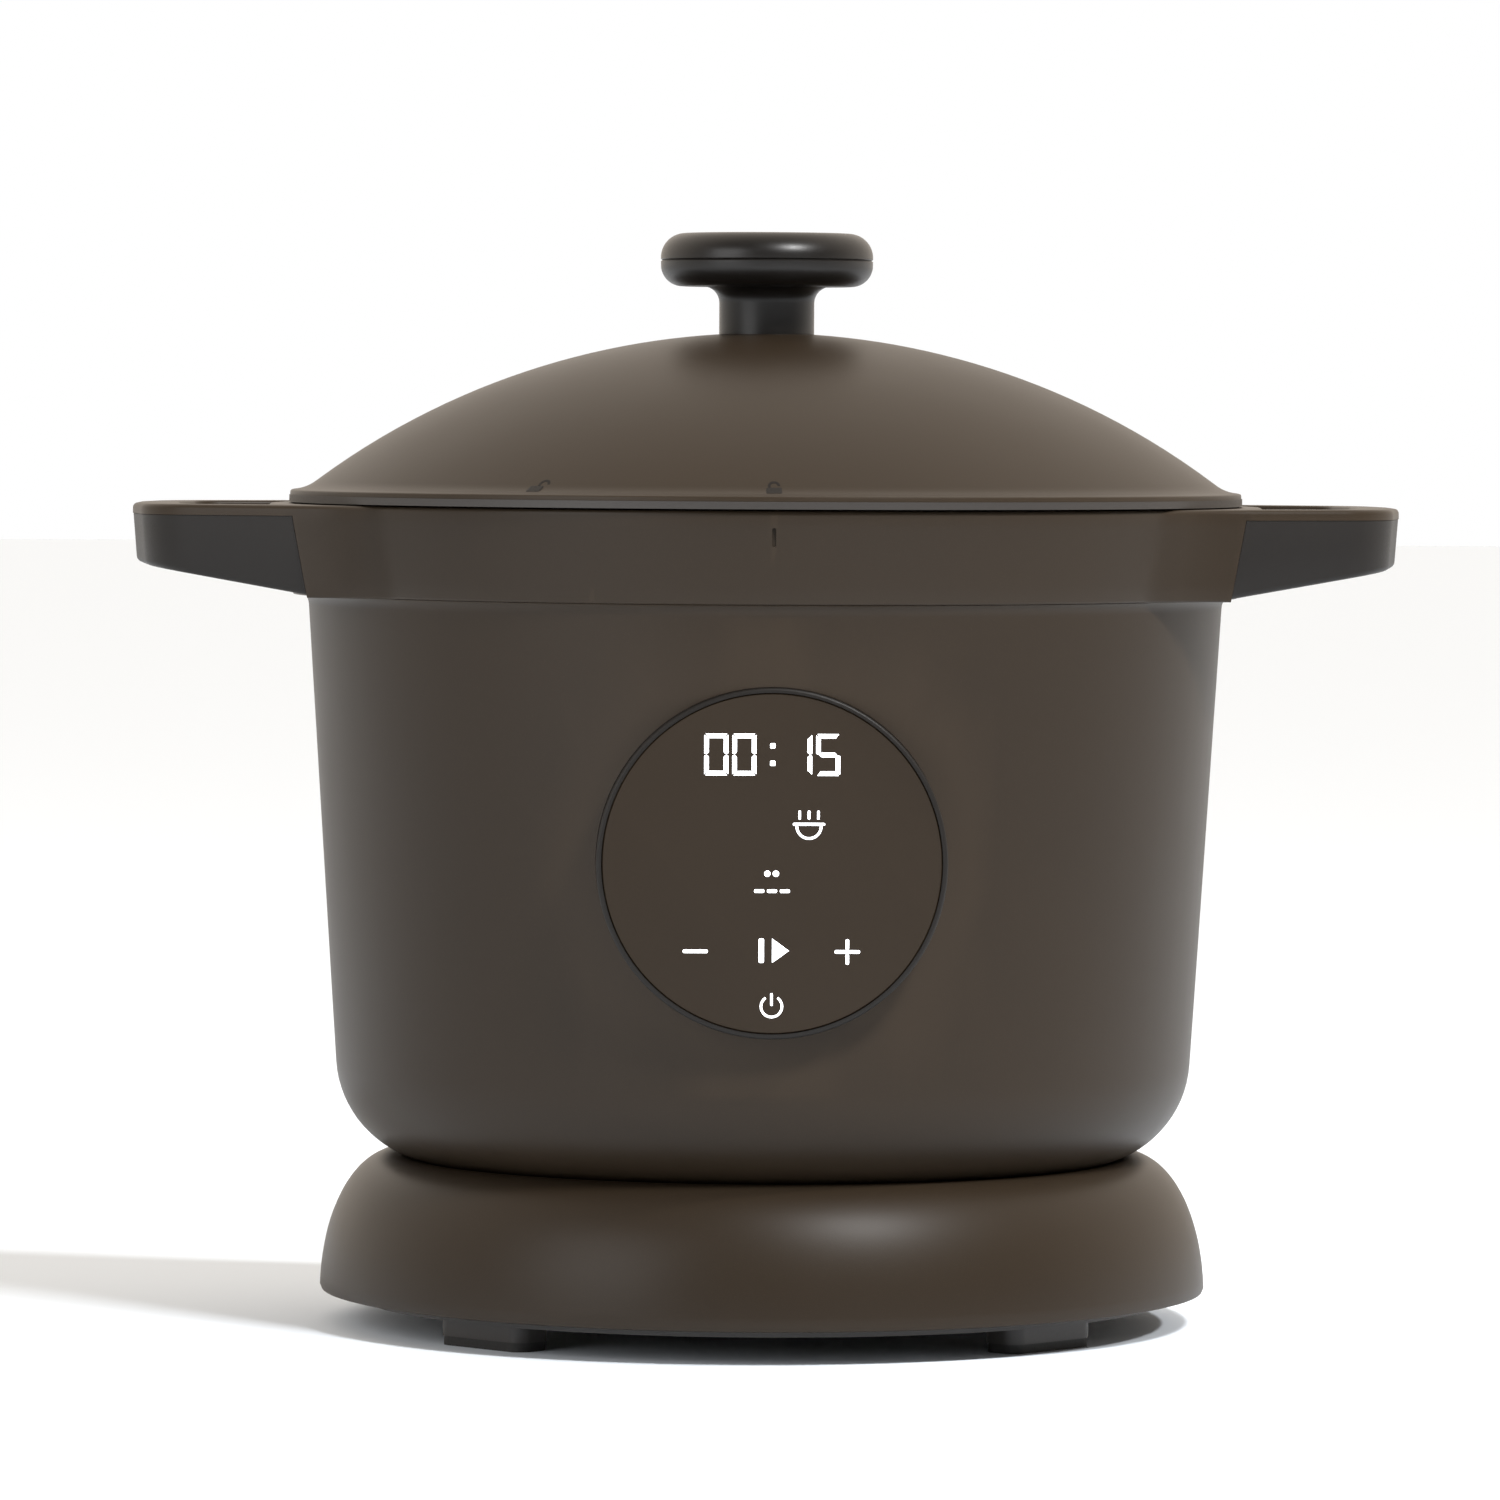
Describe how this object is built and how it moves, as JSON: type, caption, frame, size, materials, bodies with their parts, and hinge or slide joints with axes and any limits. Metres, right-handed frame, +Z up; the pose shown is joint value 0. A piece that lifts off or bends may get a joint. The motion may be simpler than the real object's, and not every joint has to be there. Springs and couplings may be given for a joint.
{
  "type": "electric pressure cooker",
  "caption": "Round electric pressure cooker with a domed twist-lock lid and knob, loop handles, a lift-out pot and a round touch display.",
  "frame": {"origin": "centre of the circle of feet, on the surface that the cooker stands on", "axes": "+X to the right-hand handle, -Y out of the display, +Z up"},
  "size_m": [0.3872, 0.2926, 0.3347],
  "materials": {
    "rubber_pad": "soft black rubber",
    "base_plastic": "moulded matte plastic",
    "coated_shell": "satin charcoal-brown coating with a fine metallic grain",
    "screw_steel": "plated steel",
    "black_plastic": "plain black plastic",
    "brass_contact": "plain brass",
    "circuit_board": "lacquered circuit board",
    "transformer_core": "laminated core with a taped winding",
    "component_blue": "printed sleeve",
    "wire_red": "silicone insulation",
    "cable_grey": "plastic sleeve",
    "dark_plastic": "fine-textured dark plastic",
    "steel_sheet": "pressed stainless steel",
    "cast_aluminium": "cast aluminium",
    "element_sheath": "heat-stained steel tube",
    "switch_cream": "heat-proof moulding",
    "smoked_lens": "smoked gloss panel",
    "light_guide": "milky diffuser",
    "pot_interior": "aluminium with a dark non-stick coating inside",
    "silicone": "translucent silicone",
    "magnet": "nickel plate",
    "knob_plastic": "satin dark plastic",
    "float_red": "red plastic"
  },
  "bodies": {
    "housing": {"foot_pads": "rubber_pad", "bottom_cover": "base_plastic", "base_shell": "coated_shell", "bottom_screws": "screw_steel", "housing_screws": "screw_steel", "power_inlet": "black_plastic", "inlet_blades": "brass_contact", "power_board": "circuit_board", "board_screws": "screw_steel", "transformer": "transformer_core", "relay": "component_blue", "capacitors": "component_blue", "mains_wires": "wire_red", "display_cable": "cable_grey", "housing_shell": "coated_shell", "collar": "coated_shell", "handle_grip_left": "dark_plastic", "handle_grip_right": "dark_plastic", "handle_screws": "screw_steel", "locking_ring": "steel_sheet", "ring_screws": "screw_steel", "support_pot": "steel_sheet", "heat_shield": "steel_sheet", "heating_plate": "cast_aluminium", "heating_element": "element_sheath", "plate_screws": "screw_steel", "sensor_bracket": "steel_sheet", "sensor_spring": "screw_steel", "thermal_fuse": "brass_contact", "pressure_switch": "switch_cream", "lid_sensor": "black_plastic", "display_bezel": "dark_plastic", "display_lens": "smoked_lens", "light_guide": "light_guide", "digit_module": "black_plastic", "touch_pads": "black_plastic", "display_board": "circuit_board", "control_chip": "black_plastic", "board_retainer": "base_plastic"},
    "pot": {"inner_pot": "pot_interior"},
    "inner_lid": {"inner_lid_plate": "steel_sheet", "sealing_ring": "silicone", "lid_pivot": "steel_sheet", "pivot_clip": "screw_steel"},
    "lid": {"lid_shell": "coated_shell", "lid_liner": "base_plastic", "pressure_plate": "steel_sheet", "lid_screws": "screw_steel", "lid_magnet": "magnet", "valve_spout": "steel_sheet", "float_guide": "steel_sheet", "steam_cover": "dark_plastic", "knob_base": "knob_plastic", "knob_cap": "knob_plastic", "knob_screw": "screw_steel"},
    "valve": {"release_valve": "dark_plastic"},
    "float": {"float_pin": "float_red", "float_seal": "silicone"},
    "plate_sensor": {"sensor_plunger": "cast_aluminium"}
  },
  "joints": [
    {"name": "pot_lift", "type": "slide", "parent": "housing", "child": "pot", "axis": [0, 0, 1], "range_m": [0, 0.18]},
    {"name": "lid_lift", "type": "slide", "parent": "pot", "child": "inner_lid", "axis": [0, 0, 1], "range_m": [0, 0.1]},
    {"name": "lid_twist", "type": "hinge", "parent": "inner_lid", "child": "lid", "pos_m": [0, 0, 0.2514], "axis": [0, 0, 1], "range_deg": [0, 30]},
    {"name": "valve_lift", "type": "slide", "parent": "lid", "child": "valve", "axis": [0, 0, 1], "range_m": [0, 0.003]},
    {"name": "float_rise", "type": "slide", "parent": "lid", "child": "float", "axis": [0, 0, 1], "range_m": [0, 0.004]},
    {"name": "sensor_press", "type": "slide", "parent": "housing", "child": "plate_sensor", "axis": [0, 0, 1], "range_m": [-0.0015, 0], "stiffness_N_per_m": 300, "springref_m": 0.0005, "deforming": ["sensor_spring"]}
  ]
}
